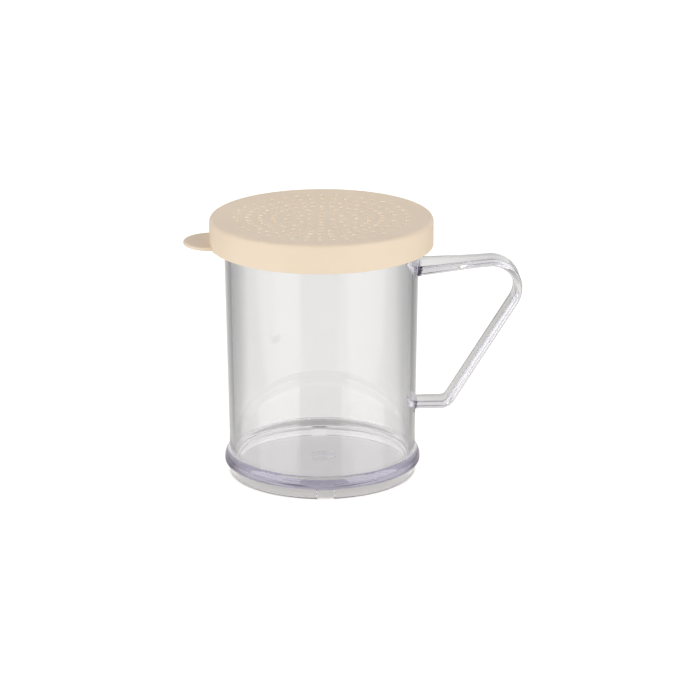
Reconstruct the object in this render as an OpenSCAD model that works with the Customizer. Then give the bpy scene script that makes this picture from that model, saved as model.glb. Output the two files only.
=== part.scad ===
// Shaker cup with a moulded side handle, and the perforated lid that snaps over its rim.
// The origin is the centre of the foot, on the surface that the cup stands on.
// +Z is up, the handle points along +X and the lid's thumb tab points the other way.

/* [Cup] */
// Height of the rim above the foot
rim_z = 94.5; // [92:0.5:110]
// Outer radius of the wall just above the base bead
wall_low_r = 33.95; // [33.5:0.05:34.1]
// Outer radius of the wall at the rim
wall_top_r = 35.3; // [35:0.05:35.8]
// Inner radius of the cup at the floor
bore_low_r = 31.95; // [31:0.05:32.4]
// Inner radius of the cup just under the mouth
bore_top_r = 33; // [32.4:0.05:33.4]
// Radius of the round corner between the floor and the wall
floor_corner_r = 1.8; // [1:0.1:4]

/* [Base] */
// Height of the floor's upper face
floor_z = 5.7; // [5:0.1:7]
// Thickness of the floor
floor_t = 2.1; // [1.6:0.1:2.1]
// Outer radius of the foot ring
foot_r = 34.1; // [33.5:0.05:34.5]
// Inner radius of the foot ring
foot_bore_r = 31.9; // [31:0.05:32.4]
// Largest radius of the base bead
bead_r = 35.85; // [35.2:0.05:36.5]
// Height of the flat ledge under the base bead
ledge_z = 4.3; // [3.5:0.1:4.8]
// Height where the bead's shoulder runs out into the wall
shoulder_z = 8.7; // [8:0.1:10]
// Width of the two drain notches in the foot ring
notch_w = 5.5; // [3:0.1:12]
// Height of the drain notches
notch_h = 3.6; // [1:0.1:3.6]

/* [Rim] */
// Outer radius of the rim flange
flange_r = 38.7; // [38:0.05:38.75]
// Thickness of the rim flange
flange_t = 2.2; // [1.8:0.1:2.3]
// Radius of the stepped mouth, which takes the foot ring of a cup stacked on this one
mouth_r = 34.5; // [34.45:0.05:34.8]
// Depth of the stepped mouth
mouth_depth = 4.5; // [3.5:0.1:5]
// Outer radius of the collar that backs the stepped mouth
collar_r = 36.5; // [36.1:0.1:37]

/* [Handle] */
// Height of the upper arm's centreline at the wall
arm_z = 76.7; // [70:0.1:79]
// Distance from the cup's axis to the point where the upper arm and the grip would cross
elbow_x = 80; // [75:0.1:90]
// Height of that point
elbow_z = 80.4; // [74:0.1:81]
// Centreline radius of the bend between the upper arm and the grip
elbow_bend_r = 9.8; // [6:0.1:12]
// Distance from the cup's axis to the point where the grip and the lower arm would cross
heel_x = 45.6; // [42:0.1:55]
// Height of the lower arm's centreline
heel_z = 25.2; // [20:0.1:40]
// Centreline radius of the bend between the grip and the lower arm
heel_bend_r = 4.2; // [2:0.1:6]
// Width of the bar, across the handle
bar_w = 10.2; // [8:0.1:12]
// Thickness of the bar
bar_t = 2.8; // [2.4:0.1:3.6]
// Radius of the bar's four edges
bar_edge_r = 1; // [0.4:0.1:1.1]
// Width of the upper arm at the wall
root_w = 16; // [12:0.1:18]
// Thickness of the upper arm at the wall
root_t = 3.4; // [2.8:0.1:4.5]
// Radius of the fillet that joins the upper arm to the wall
root_fillet_r = 0.8; // [0.4:0.1:2]
// Radius of the fillet that joins the lower arm to the wall
heel_fillet_r = 0.5; // [0.3:0.1:1.5]

/* [Lid] */
// Outer radius of the lid
lid_r = 40.4; // [40.2:0.05:41.5]
// Height of the lid's top edge above the cup's rim
lid_rise = 1.5; // [1.4:0.1:2]
// Thickness of the perforated top
plate_t = 1.4; // [1:0.1:1.6]
// Depth to which the perforated top is dished in the middle
dish = 1.2; // [0.6:0.1:2]
// Thickness of the skirt
skirt_t = 1.3; // [1.1:0.05:1.4]
// Height of the lid from the edge of its skirt to its top
lid_h = 10.3; // [9:0.1:11]
// Radius of the round edge between the top and the skirt
lid_edge_r = 1.6; // [1:0.1:2.2]
// How far the snap bead reaches in under the rim flange
snap_bite = 0.35; // [0.1:0.05:0.5]
// Depth of the seal ring that hangs into the mouth
seal_depth = 2.5; // [1.5:0.1:3.2]
// Thickness of the seal ring
seal_t = 1; // [0.8:0.1:1.1]
// How far the lid is turned on the rim, in degrees
lid_turn = -3; // [-180:1:180]

/* [Sprinkle holes] */
// Diameter of each sprinkle hole
hole_d = 1.5; // [0.8:0.1:1.8]
// Distance between rings for the two inner rings round the middle hole
inner_pitch = 4.15; // [3.8:0.05:4.3]
// Distance between rings for the outer rings
outer_pitch = 4.56; // [4.2:0.02:4.6]

/* [Thumb tab] */
// Radius of the tab's round outline
tab_r = 11; // [8:0.1:14]
// How far the tab stands out from the skirt
tab_reach = 9.5; // [5:0.1:10]
// Thickness of the tab
tab_t = 1.3; // [1:0.1:2]
// Radius of the tab's round edges
tab_edge_r = 0.5; // [0.2:0.05:0.5]
// Radius of the fillet between the tab and the skirt
tab_fillet_r = 0.8; // [0.3:0.1:1.5]

/* [Hidden] */
$fn = 180;

edge_r = 0.4;                // small broken edges of the mouldings
skirt_edge_r = 0.2;          // edges at the foot of the skirt
clear_gap = 0.3;             // play between the lid and the rim, all round
arc_steps = 6;               // straight pieces in each quarter of a moulded corner
mark_r = 4.6;                // round gate mark under the middle of the floor
mark_w = 0.6;
mark_h = 0.2;
nub_r = 0.6;                 // stub that the gate leaves at its centre
lead_in = 0.5;               // sloping entry under the snap bead and the seal ring
root_inset = 1.5;            // how far the handle's ends are buried in the wall
taper_ease = 0.4;            // part of the upper arm's taper that eases into the bar
root_steps = 8;              // places along the handle where its section is drawn
arm_steps = 8;
elbow_steps = 16;
heel_steps = 8;
section_steps = 5;           // straight pieces in each round edge of the bar

under_z = floor_z - floor_t;
flange_z = rim_z - flange_t;
mouth_z = rim_z - mouth_depth;
collar_z = mouth_z - 2;
bead_out = bead_r - wall_low_r;

lid_z = rim_z + lid_rise - lid_h;
lid_top_z = rim_z + lid_rise;
dish_edge_r = lid_r - lid_edge_r;
dish_r = (dish_edge_r * dish_edge_r + dish * dish) / (2 * dish);
dish_facets = 720;
skirt_bore_r = lid_r - skirt_t;
snap_r = flange_r - snap_bite;
snap_top_z = flange_z - 0.15;
snap_h = 1.5;
seal_r = mouth_r - clear_gap;
tab_x = lid_r + tab_reach - tab_r;
ring_holes = [4, 12, 16, 32, 40, 40, 40];    // number of holes in each ring, from the middle
inner_rings = 2;
hole_facets = 24;

cup_color = [0.90, 0.90, 0.95, 0.40];
lid_color = [0.89, 0.81, 0.71];

// Radius of the wall's outside at height z
function wall_r(z) =
    wall_low_r + (wall_top_r - wall_low_r) * (z - shoulder_z) / (rim_z - shoulder_z);

// Points along an arc about [x, z] from angle a to angle b, with its own radii along x and z
function arc(x, z, rx, rz, a, b, steps = arc_steps) =
    [for (i = [0:steps]) let (t = a + (b - a) * i / steps) [x + rx * cos(t), z + rz * sin(t)]];

// ---- Cup ----

// Underside of the floor with its gate mark, the foot ring, and the bead above it
function base_outline() = concat(
    [[0, under_z - mark_h], [nub_r, under_z - mark_h], [nub_r, under_z]],
    [[mark_r, under_z], [mark_r + mark_w / 2, under_z - mark_h], [mark_r + mark_w, under_z]],
    arc(foot_bore_r - edge_r, under_z - edge_r, edge_r, edge_r, 90, 0),
    arc(foot_bore_r + edge_r, edge_r, edge_r, edge_r, 180, 270),
    arc(foot_r - edge_r, edge_r, edge_r, edge_r, 270, 360),
    [[foot_r, ledge_z]],
    arc(bead_r - edge_r, ledge_z + edge_r, edge_r, edge_r, 270, 360),
    arc(wall_low_r, ledge_z + edge_r, bead_out, shoulder_z - ledge_z - edge_r, 0, 90, 2 * arc_steps));

// Collar, rim flange and stepped mouth
function rim_outline() = concat(
    [[wall_r(collar_z), collar_z], [collar_r, mouth_z]],
    [[collar_r, flange_z - edge_r], [collar_r + edge_r, flange_z]],
    arc(flange_r - edge_r, flange_z + edge_r, edge_r, edge_r, 270, 360),
    arc(flange_r - edge_r, rim_z - edge_r, edge_r, edge_r, 0, 90),
    arc(mouth_r + edge_r, rim_z - edge_r, edge_r, edge_r, 90, 180),
    [[mouth_r, mouth_z], [bore_top_r, mouth_z]]);

// Foot of the wall's inside and the floor
function inside_outline() = concat(
    arc(bore_low_r - floor_corner_r, floor_z + floor_corner_r, floor_corner_r, floor_corner_r, 0, -90),
    [[0, floor_z]]);

module cup_shell() {
    rotate_extrude() polygon(concat(base_outline(), rim_outline(), inside_outline()));
}

// Slots through the front and the back of the foot ring
module drain_notches() {
    ring_mid_r = (foot_r + foot_bore_r) / 2;
    cut_depth = 2 * (foot_r - foot_bore_r);
    for (side = [-1, 1])
        translate([0, side * ring_mid_r, 0]) cube([notch_w, cut_depth, 2 * notch_h], center = true);
}

// ---- Handle ----

// How far a fillet of radius r still stands out at distance d from the wall
function fillet_swell(d, r) = d >= r ? 0 : r - sqrt(r * r - (r - d) * (r - d));

// Distance of x from the wall at height z, where a bar w wide meets the round wall
function from_wall(x, z, w) = max(0, x - sqrt(wall_r(z) * wall_r(z) - w * w / 4));

// Points of the bend of radius r that replaces the corner b, going clockwise from a to c
function bend(a, b, c, r, steps) =
    let (
        u = (b - a) / norm(b - a),
        v = (c - b) / norm(c - b),
        turn = acos(u * v),
        start = b - u * r * tan(turn / 2),
        centre = start + r * [u[1], -u[0]],
        first = atan2(start[1] - centre[1], start[0] - centre[0]))
    [for (i = [0:steps]) centre + r * [cos(first - turn * i / steps), sin(first - turn * i / steps)]];

// Points from a towards b that are close together at a, over a length of reach
function root_points(a, b, reach) =
    let (u = (b - a) / norm(b - a))
    [for (i = [0:root_steps]) a + u * reach * (1 - cos(90 * i / root_steps))];

// Points evenly spaced between a and b, without those two
function between(a, b, steps) = [for (i = [1:steps - 1]) a + (b - a) * i / steps];

function reversed(list) = [for (i = [len(list) - 1:-1:0]) list[i]];

// Ends of the handle, buried in the wall, and the two corners between them
root = [wall_r(arm_z) - root_inset, arm_z];
elbow = [elbow_x, elbow_z];
heel = [heel_x, heel_z];
tail = [wall_r(heel_z) - root_inset, heel_z];

// Centreline of the handle, from the upper root round to the lower one
upper_root = root_points(root, elbow, root_inset + root_fillet_r);
elbow_bend = bend(root, elbow, heel, elbow_bend_r, elbow_steps);
heel_bend = bend(elbow, heel, tail, heel_bend_r, heel_steps);
lower_root = reversed(root_points(tail, heel, root_inset + heel_fillet_r));
centreline = concat(
    upper_root,
    between(upper_root[root_steps], elbow_bend[0], arm_steps),
    elbow_bend,
    heel_bend,
    lower_root);

// Share of the upper arm's extra size that is left at x; it eases into the bar at the bend
function taper(x) =
    let (
        length = elbow_bend[0][0] - wall_r(arm_z),
        left = max(0, min(1, (elbow_bend[0][0] - x) / length)))
    (left < taper_ease ? left * left / (2 * taper_ease) : left - taper_ease / 2) / (1 - taper_ease / 2);

// Width and thickness of the upper arm, the bend and the upper half of the grip
function upper_size(p) =
    let (share = taper(p[0]))
    [bar_w + (root_w - bar_w) * share + 2 * fillet_swell(from_wall(p[0], arm_z, root_w), root_fillet_r),
     bar_t + (root_t - bar_t) * share + 2 * fillet_swell(from_wall(p[0], arm_z, 0), root_fillet_r)];

// Width and thickness of the lower half of the grip and the lower arm
function lower_size(p) =
    [bar_w + 2 * fillet_swell(from_wall(p[0], heel_z, bar_w), heel_fillet_r),
     bar_t + 2 * fillet_swell(from_wall(p[0], heel_z, 0), heel_fillet_r)];

function bar_size(p) = p[1] > (elbow_z + heel_z) / 2 ? upper_size(p) : lower_size(p);

// Rounded rectangle of the given [width, thickness]
function bar_section(size) =
    [for (k = [0:3], i = [0:section_steps])
        let (
            t = 90 * (k + i / section_steps),
            cx = (size[0] / 2 - bar_edge_r) * (k == 0 || k == 3 ? 1 : -1),
            cy = (size[1] / 2 - bar_edge_r) * (k < 2 ? 1 : -1))
        [cx + bar_edge_r * cos(t), cy + bar_edge_r * sin(t)]];

// Unit direction of the centreline at point i
function heading(i) =
    let (
        last = len(centreline) - 1,
        step = centreline[min(i + 1, last)] - centreline[max(i - 1, 0)])
    step / norm(step);

// Ring of points of the bar at centreline point i
function bar_ring(i) =
    let (p = centreline[i], h = heading(i), up = [-h[1], h[0]])
    [for (q = bar_section(bar_size(p))) [p[0] + up[0] * q[1], q[0], p[1] + up[1] * q[1]]];

// Solid through a list of rings that all have the same number of points
module loft(rings) {
    n = len(rings[0]);
    last = len(rings) - 1;
    sides = [for (k = [0:last - 1], i = [0:n - 1], half = [0, 1])
        let (a = k * n + i, b = k * n + (i + 1) % n)
        half == 0 ? [a, b + n, b] : [a, a + n, b + n]];
    ends = [[for (i = [0:n - 1]) i], [for (i = [n - 1:-1:0]) last * n + i]];
    polyhedron(points = [for (ring = rings) each ring], faces = concat(sides, ends), convexity = 6);
}

module handle() {
    loft([for (i = [0:len(centreline) - 1]) bar_ring(i)]);
}

module cup() {
    color(cup_color) difference() {
        union() {
            cup_shell();
            handle();
        }
        drain_notches();
    }
}

// ---- Lid ----

// Seal ring, seat on the rim, skirt with its snap bead, and the round edge over it
function lid_outline() = concat(
    [[seal_r - seal_t, lid_top_z], [seal_r - seal_t, rim_z - seal_depth]],
    [[seal_r - lead_in, rim_z - seal_depth], [seal_r, rim_z - seal_depth + lead_in], [seal_r, rim_z]],
    [[skirt_bore_r, rim_z], [skirt_bore_r, snap_top_z]],
    [[snap_r, snap_top_z - lead_in], [snap_r, snap_top_z - snap_h + lead_in]],
    [[skirt_bore_r, snap_top_z - snap_h - lead_in], [skirt_bore_r, lid_z + skirt_edge_r]],
    [[skirt_bore_r + skirt_edge_r, lid_z]],
    arc(lid_r - skirt_edge_r, lid_z + skirt_edge_r, skirt_edge_r, skirt_edge_r, 270, 360),
    arc(lid_r - lid_edge_r, lid_top_z - lid_edge_r, lid_edge_r, lid_edge_r, 0, 90));

// Half-section of the lid; the dished top is a plate between two spheres about one centre
module lid_section() {
    dish_centre_z = lid_top_z - dish + dish_r;
    difference() {
        union() {
            polygon(lid_outline());
            intersection() {
                translate([0, lid_z]) square([seal_r - seal_t / 2, lid_h]);
                translate([0, dish_centre_z]) circle(r = dish_r + plate_t, $fn = dish_facets);
            }
        }
        translate([0, dish_centre_z]) circle(r = dish_r, $fn = dish_facets);
    }
}

// Radius of ring k, counted from 1 for the one next to the middle hole
function ring_r(k) = inner_pitch * min(k, inner_rings) + outer_pitch * max(0, k - inner_rings);

module sprinkle_hole() {
    translate([0, 0, lid_z]) cylinder(d = hole_d, h = 2 * lid_h, $fn = hole_facets);
}

module sprinkle_holes() {
    sprinkle_hole();
    for (k = [1:len(ring_holes)], i = [1:ring_holes[k - 1]])
        rotate(90 + 360 * i / ring_holes[k - 1]) translate([ring_r(k), 0, 0]) sprinkle_hole();
}

// Half-section of the tab's disc
function tab_outline() = concat(
    [[0, 0]],
    arc(tab_r - tab_edge_r, tab_edge_r, tab_edge_r, tab_edge_r, -90, 0),
    arc(tab_r - tab_edge_r, tab_t - tab_edge_r, tab_edge_r, tab_edge_r, 0, 90),
    [[0, tab_t]]);

// Hollow corner between the tab's upper face and the skirt
function tab_fillet_outline() = concat(
    [[lid_r - skirt_t / 2, tab_t - tab_edge_r]],
    [[lid_r + tab_fillet_r, tab_t - tab_edge_r]],
    arc(lid_r + tab_fillet_r, tab_t + tab_fillet_r, tab_fillet_r, tab_fillet_r, 270, 180),
    [[lid_r - skirt_t / 2, tab_t + tab_fillet_r]]);

module thumb_tab() {
    translate([0, 0, lid_z]) difference() {
        union() {
            translate([-tab_x, 0, 0]) rotate_extrude() polygon(tab_outline());
            intersection() {
                rotate_extrude() polygon(tab_fillet_outline());
                translate([-tab_x, 0, 0]) cylinder(r = tab_r - tab_edge_r, h = 2 * tab_t);
            }
        }
        translate([0, 0, -tab_t]) cylinder(r = lid_r - skirt_t / 2, h = 4 * tab_t);
    }
}

module lid() {
    color(lid_color) rotate(lid_turn) difference() {
        union() {
            rotate_extrude() lid_section();
            thumb_tab();
        }
        sprinkle_holes();
    }
}

cup();
lid();
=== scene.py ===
"""Handled shaker cup and its perforated press-on lid, on white paper in a light tent.

The cup is one clear moulding: a tapered wall, a floor carried on a foot ring, a bead
above the foot, a flanged rim and a strap handle. The lid is one beige moulding: a dished
top with rings of sprinkle holes, a skirt that snaps over the rim, and a thumb tab.
Sizes of the mouldings are in millimetres and become metres when a mesh is made. Those
of the finishes and the studio are in metres.
"""

import logging
import math
from dataclasses import dataclass, field, replace
from enum import Enum
from typing import Callable, Iterable, Sequence

import bmesh
import bpy
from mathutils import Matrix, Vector

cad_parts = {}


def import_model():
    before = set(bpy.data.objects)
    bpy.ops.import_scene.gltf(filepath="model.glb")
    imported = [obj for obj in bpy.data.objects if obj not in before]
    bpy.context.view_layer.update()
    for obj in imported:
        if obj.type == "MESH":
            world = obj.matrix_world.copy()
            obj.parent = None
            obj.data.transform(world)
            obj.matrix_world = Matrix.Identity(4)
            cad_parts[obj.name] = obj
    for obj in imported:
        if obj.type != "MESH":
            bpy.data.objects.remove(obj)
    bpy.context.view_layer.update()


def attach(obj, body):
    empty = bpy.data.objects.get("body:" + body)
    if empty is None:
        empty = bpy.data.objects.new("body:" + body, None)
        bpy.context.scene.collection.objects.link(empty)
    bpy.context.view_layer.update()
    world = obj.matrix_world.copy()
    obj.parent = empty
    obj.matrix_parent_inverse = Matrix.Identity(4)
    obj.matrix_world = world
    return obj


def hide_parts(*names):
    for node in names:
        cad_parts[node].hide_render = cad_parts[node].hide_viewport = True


LOG = logging.getLogger("shaker")

MM = 0.001
SAME = 1e-6
SHARP_DEG = 32.0
LARGE_FACE_LEAD = 80
CORNER_STEPS = 8
NOISE_SPAN = (0.3, 0.7)
SENSOR = 36.0

Point = tuple[float, float]
Place = tuple[float, float, float]
Colour = tuple[float, float, float, float]
Outline = list[Point]
Stops = tuple[Point, ...]
Rings = list[list[int]]
Border = tuple[list[int], list[int]]
Height = Callable[[float], float]
Piece = bpy.types.Object
Node = bpy.types.Node
Socket = bpy.types.NodeSocket
Feed = Socket | float | Place | Colour


class Root(Enum):
    """The two places where the handle grows out of the wall."""

    UPPER = "upper"
    LOWER = "lower"


class Join(Enum):
    """How a tool changes the piece that it is used on."""

    CUT = "DIFFERENCE"
    GROW = "UNION"


class Easing(Enum):
    """How a value gets from one end of its range to the other."""

    EVEN = "LINEAR"
    SOFT = "SMOOTHSTEP"


class Blend(Enum):
    """What a mix is made of: Blender's name for it, its first input and its output."""

    NUMBERS = ("FLOAT", 2, 0)
    COLOURS = ("RGBA", 6, 2)


# ---------------------------------------------------------------------------
# Outlines and skins
# ---------------------------------------------------------------------------


def line(first: float, last: float, steps: int) -> list[float]:
    """Evenly spaced numbers from first to last, both ends kept."""
    return [first + (last - first) * i / steps for i in range(steps + 1)]


def round_turn(count: int, start: float = 0.0) -> list[float]:
    """Evenly spaced bearings in radians, once round from the first one."""
    return [start + 2 * math.pi * i / count for i in range(count)]


def ease(share: float) -> float:
    """Smooth step from 0 to 1 for a share that is held between 0 and 1."""
    s = min(1.0, max(0.0, share))
    return s * s * (3 - 2 * s)


def corner(
    x: float,
    z: float,
    rx: float,
    rz: float,
    start: float,
    end: float,
    steps: int = CORNER_STEPS,
) -> Outline:
    """Points along a part of a rounded corner.

    Args:
        x: Middle of the corner, away from the axis.
        z: Height of the middle of the corner.
        rx: Radius of the corner along x.
        rz: Radius of the corner along z.
        start: Angle of the first point in degrees.
        end: Angle of the last point in degrees.
        steps: Number of straight pieces.

    Returns:
        The points as (x, z) pairs.
    """
    turns = [math.radians(a) for a in line(start, end, steps)]
    return [(x + rx * math.cos(t), z + rz * math.sin(t)) for t in turns]


def between(first: Point, last: Point, shares: Iterable[float]) -> Outline:
    """Points on a straight stretch.

    Args:
        first: Where the stretch starts.
        last: Where it ends.
        shares: Places of the points, as shares of its length.

    Returns:
        The points.
    """
    x, z = first
    return [(x + (last[0] - x) * s, z + (last[1] - z) * s) for s in shares]


def bend(before: Point, at: Point, after: Point, radius: float, steps: int) -> Outline:
    """Arc that replaces a corner of a line, turning clockwise.

    Args:
        before: Point on the line into the corner.
        at: The corner.
        after: Point on the line out of the corner.
        radius: Radius of the arc.
        steps: Number of straight pieces.

    Returns:
        Points along the arc.
    """
    b = Vector(at)
    u, v = (b - Vector(before)).normalized(), (Vector(after) - b).normalized()
    turn = u.angle(v)
    start = b - u * radius * math.tan(turn / 2)
    middle = start + Vector((u.y, -u.x)) * radius
    first = math.atan2(start.y - middle.y, start.x - middle.x)
    turns = [first - turn * i / steps for i in range(steps + 1)]
    return [(middle.x + radius * math.cos(t), middle.y + radius * math.sin(t)) for t in turns]


def circle(r: float, z: float, count: int, start: float = 0.0) -> list[Place]:
    """Places round the axis at one height, from a bearing in radians."""
    return [(r * math.cos(t), r * math.sin(t), z) for t in round_turn(count, start)]


@dataclass
class Skin:
    """Points and faces of one moulding, gathered before they become a mesh."""

    points: list[Vector] = field(default_factory=list)
    faces: list[tuple[int, ...]] = field(default_factory=list)

    def add(self, places: Iterable[Sequence[float]]) -> list[int]:
        """Adds points.

        Args:
            places: Positions in millimetres.

        Returns:
            The numbers of the new points.
        """
        first = len(self.points)
        self.points.extend(Vector(p) for p in places)
        return list(range(first, len(self.points)))

    def strip(self, a: Sequence[int], b: Sequence[int], closed: bool = True) -> None:
        """Joins two rows of equally many points with four-sided faces.

        Args:
            a: The first row.
            b: The second row, point for point beside the first.
            closed: Whether the rows run all the way round.
        """
        n = len(a)
        for i in range(n if closed else n - 1):
            j = (i + 1) % n
            self.faces.append((a[i], a[j], b[j], b[i]))

    def strips(self, rows: Rings, closed: bool = True) -> None:
        """Joins each row to the next one.

        Args:
            rows: The rows, with equally many points.
            closed: Whether the rows run all the way round.
        """
        for a, b in zip(rows, rows[1:]):
            self.strip(a, b, closed)

    def zip(self, a: Sequence[int], b: Sequence[int]) -> None:
        """Joins two closed rings with different numbers of points.

        Args:
            a: The first ring; both rings start at the same bearing and run the same way.
            b: The second ring.
        """
        if len(a) == len(b):
            self.strip(a, b)
            return
        i = j = 0
        while i < len(a) or j < len(b):
            near, far = a[i % len(a)], b[j % len(b)]
            if j >= len(b) or (i + 1) / len(a) <= (j + 1) / len(b):
                i += 1
                self.faces.append((near, a[i % len(a)], far))
            else:
                j += 1
                self.faces.append((near, b[j % len(b)], far))

    def fan(self, ring: Sequence[int], middle: int) -> None:
        """Closes a ring to one middle point.

        Args:
            ring: The ring.
            middle: The point in its middle.
        """
        for i, point in enumerate(ring):
            self.faces.append((point, ring[(i + 1) % len(ring)], middle))

    def mesh_object(self, name: str) -> Piece:
        """Makes the skin into an object with its faces turned outwards.

        Args:
            name: Name of the object and of its mesh.

        Returns:
            The new object, linked to the scene.
        """
        mesh = bpy.data.meshes.new(name)
        mesh.from_pydata([p * MM for p in self.points], [], self.faces)
        turned = bmesh.new()
        turned.from_mesh(mesh)
        bmesh.ops.recalc_face_normals(turned, faces=turned.faces)
        turned.to_mesh(mesh)
        turned.free()
        piece = bpy.data.objects.new(name, mesh)
        bpy.context.scene.collection.objects.link(piece)
        shade(piece)
        return piece


def shade(piece: Piece) -> None:
    """Shades a piece smooth, but for the edges that bend sharply."""
    piece.data.shade_smooth()
    piece.data.set_sharp_from_angle(angle=math.radians(SHARP_DEG))


def settle_normals(piece: Piece) -> None:
    """Lets the large faces of a piece rule the shading of the small ones beside them.

    Args:
        piece: The piece, which keeps the modifier.
    """
    weigh = piece.modifiers.new("large faces lead", "WEIGHTED_NORMAL")
    weigh.mode = "FACE_AREA"
    weigh.weight = LARGE_FACE_LEAD
    weigh.keep_sharp = True


def combine(piece: Piece, tool: Piece, join: Join) -> None:
    """Cuts a tool out of a piece or grows it onto the piece, and uses the tool up.

    Args:
        piece: The piece that is changed.
        tool: The closed body that is cut away or added.
        join: Whether the tool is cut out or grown on.
    """
    step = piece.modifiers.new("join", "BOOLEAN")
    step.operation = join.value
    step.solver = "EXACT"
    step.object = tool
    bpy.context.view_layer.update()
    ready = piece.evaluated_get(bpy.context.evaluated_depsgraph_get())
    mesh = bpy.data.meshes.new_from_object(ready)
    piece.modifiers.clear()
    old, piece.data = piece.data, mesh
    bpy.data.meshes.remove(old)
    spent = tool.data
    bpy.data.objects.remove(tool)
    bpy.data.meshes.remove(spent)
    shade(piece)


def revolve(
    skin: Skin,
    outline: Outline,
    segments: int,
    keep: Callable[[int, int], bool] = lambda row, column: True,
) -> Rings:
    """Turns an outline round the axis.

    Args:
        skin: The skin that takes the points and faces.
        outline: Points as (radius, height), none of them on the axis.
        segments: Number of faces in one turn.
        keep: Says whether the face at a row and column is wanted.

    Returns:
        One ring of point numbers for each point of the outline.
    """
    rings = [skin.add(circle(r, z, segments)) for r, z in outline]
    for row, (low, high) in enumerate(zip(rings, rings[1:])):
        for column in range(segments):
            beside = (column + 1) % segments
            if keep(row, column):
                skin.faces.append((low[column], low[beside], high[beside], high[column]))
    return rings


# ---------------------------------------------------------------------------
# Finishes
# ---------------------------------------------------------------------------


@dataclass(frozen=True)
class Waves:
    """Noise: its waves per metre, its finer layers, and its scale along x, y and z."""

    scale: float
    detail: float
    stretch: Place = (1.0, 1.0, 1.0)


@dataclass(frozen=True)
class Bench:
    """A material's node tree with short ways to add and join nodes."""

    tree: bpy.types.NodeTree

    def plug(self, port: Socket, value: Feed) -> None:
        """Joins an output to an input, or sets a number or colour on the input itself.

        Args:
            port: The input.
            value: The output, number or colour.
        """
        if isinstance(value, bpy.types.NodeSocket):
            self.tree.links.new(value, port)
        else:
            port.default_value = value

    def feed(self, target: Node, **values: Feed) -> None:
        """Plugs outputs, numbers and colours into a node.

        Args:
            target: The node.
            **values: What each input gets, with underscores for the spaces in its name.
        """
        for name, value in values.items():
            self.plug(target.inputs[name.replace("_", " ")], value)

    def node(self, kind: str, **values: Feed) -> Node:
        """Adds a node.

        Args:
            kind: Blender's name for the node.
            **values: What each input gets, with underscores for the spaces in its name.

        Returns:
            The new node.
        """
        made = self.tree.nodes.new(kind)
        self.feed(made, **values)
        return made

    def noise(self, waves: Waves) -> Socket:
        """Adds noise that sits on the object's own coordinates.

        Args:
            waves: The noise.

        Returns:
            Its output.
        """
        place = self.node("ShaderNodeTexCoord").outputs["Object"]
        shape = self.node("ShaderNodeMapping", Vector=place, Scale=waves.stretch)
        made = self.node("ShaderNodeTexNoise", Vector=shape.outputs["Vector"])
        self.feed(made, Scale=waves.scale, Detail=waves.detail)
        return made.outputs["Fac"]

    def relief(self, height: Socket, strength: float, depth: float) -> Socket:
        """Normals of a relief that follows a height."""
        made = self.node("ShaderNodeBump", Height=height, Strength=strength, Distance=depth)
        return made.outputs["Normal"]

    def follow(
        self,
        source: Socket,
        span: Point,
        onto: Point = (0.0, 1.0),
        easing: Easing = Easing.EVEN,
    ) -> Socket:
        """Maps one range of values onto another and holds its ends.

        Args:
            source: The value that is followed.
            span: The range that it runs over.
            onto: The values at the two ends.
            easing: How it gets from one to the other.

        Returns:
            The mapped output.
        """
        made = self.node("ShaderNodeMapRange", Value=source)
        made.interpolation_type = easing.value
        self.feed(made, From_Min=span[0], From_Max=span[1], To_Min=onto[0], To_Max=onto[1])
        return made.outputs["Result"]

    def spread(self, source: Socket, onto: Point) -> Socket:
        """Maps the middle of a noise onto a range."""
        return self.follow(source, NOISE_SPAN, onto)

    def ramp(self, source: Socket, span: Point, onto: Point = (0.0, 1.0)) -> Socket:
        """Eases from one value to another while its source runs over a range."""
        return self.follow(source, span, onto, Easing.SOFT)

    def steps(self, source: Socket, stops: Stops) -> Socket:
        """Follows a table of places and strengths.

        Args:
            source: The value that is followed.
            stops: Places in rising order, each with its strength.

        Returns:
            The strength.
        """
        first, last = stops[0][0], stops[-1][0]
        table = self.node("ShaderNodeValToRGB", Fac=self.follow(source, (first, last)))
        elements = table.color_ramp.elements
        ends = {first: 0, last: -1}
        for place, strength in stops:
            at = (place - first) / (last - first)
            stop = elements[ends[place]] if place in ends else elements.new(at)
            stop.color = (strength, strength, strength, 1.0)
        return table.outputs["Color"]

    def mix(self, blend: Blend, share: Socket, first: Feed, second: Feed) -> Socket:
        """Blends two numbers, colours or outputs.

        Args:
            blend: What is blended.
            share: Share of the second one.
            first: The first one.
            second: The second one.

        Returns:
            The blend.
        """
        kind, port, result = blend.value
        made = self.node("ShaderNodeMix")
        made.data_type = kind
        for i, value in ((0, share), (port, first), (port + 1, second)):
            self.plug(made.inputs[i], value)
        return made.outputs[result]

    def sum_up(self, operation: str, *terms: Socket | float) -> Socket:
        """Works out a sum.

        Args:
            operation: Blender's name for the sum.
            *terms: Its outputs and numbers, in order.

        Returns:
            The result.
        """
        made = self.node("ShaderNodeMath")
        made.operation = operation
        for port, term in zip(made.inputs, terms):
            self.plug(port, term)
        return made.outputs["Value"]

    def times(self, a: Socket, b: Socket) -> Socket:
        """Multiplies two outputs."""
        return self.sum_up("MULTIPLY", a, b)

    def size(self, source: Socket) -> Socket:
        """Drops the sign of an output."""
        return self.sum_up("ABSOLUTE", source)

    def bearing(self, x: Socket, y: Socket) -> Socket:
        """Bearing in degrees, from +Y towards +X."""
        return self.sum_up("DEGREES", self.sum_up("ARCTAN2", x, y))


def new_bench(name: str) -> tuple[bpy.types.Material, Bench, Node]:
    """Starts a material.

    Args:
        name: Name of the material.

    Returns:
        The material, its bench and its surface shader.
    """
    material = bpy.data.materials.new(name)
    material.use_nodes = True
    surface = material.node_tree.nodes["Principled BSDF"]
    return material, Bench(material.node_tree), surface


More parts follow.
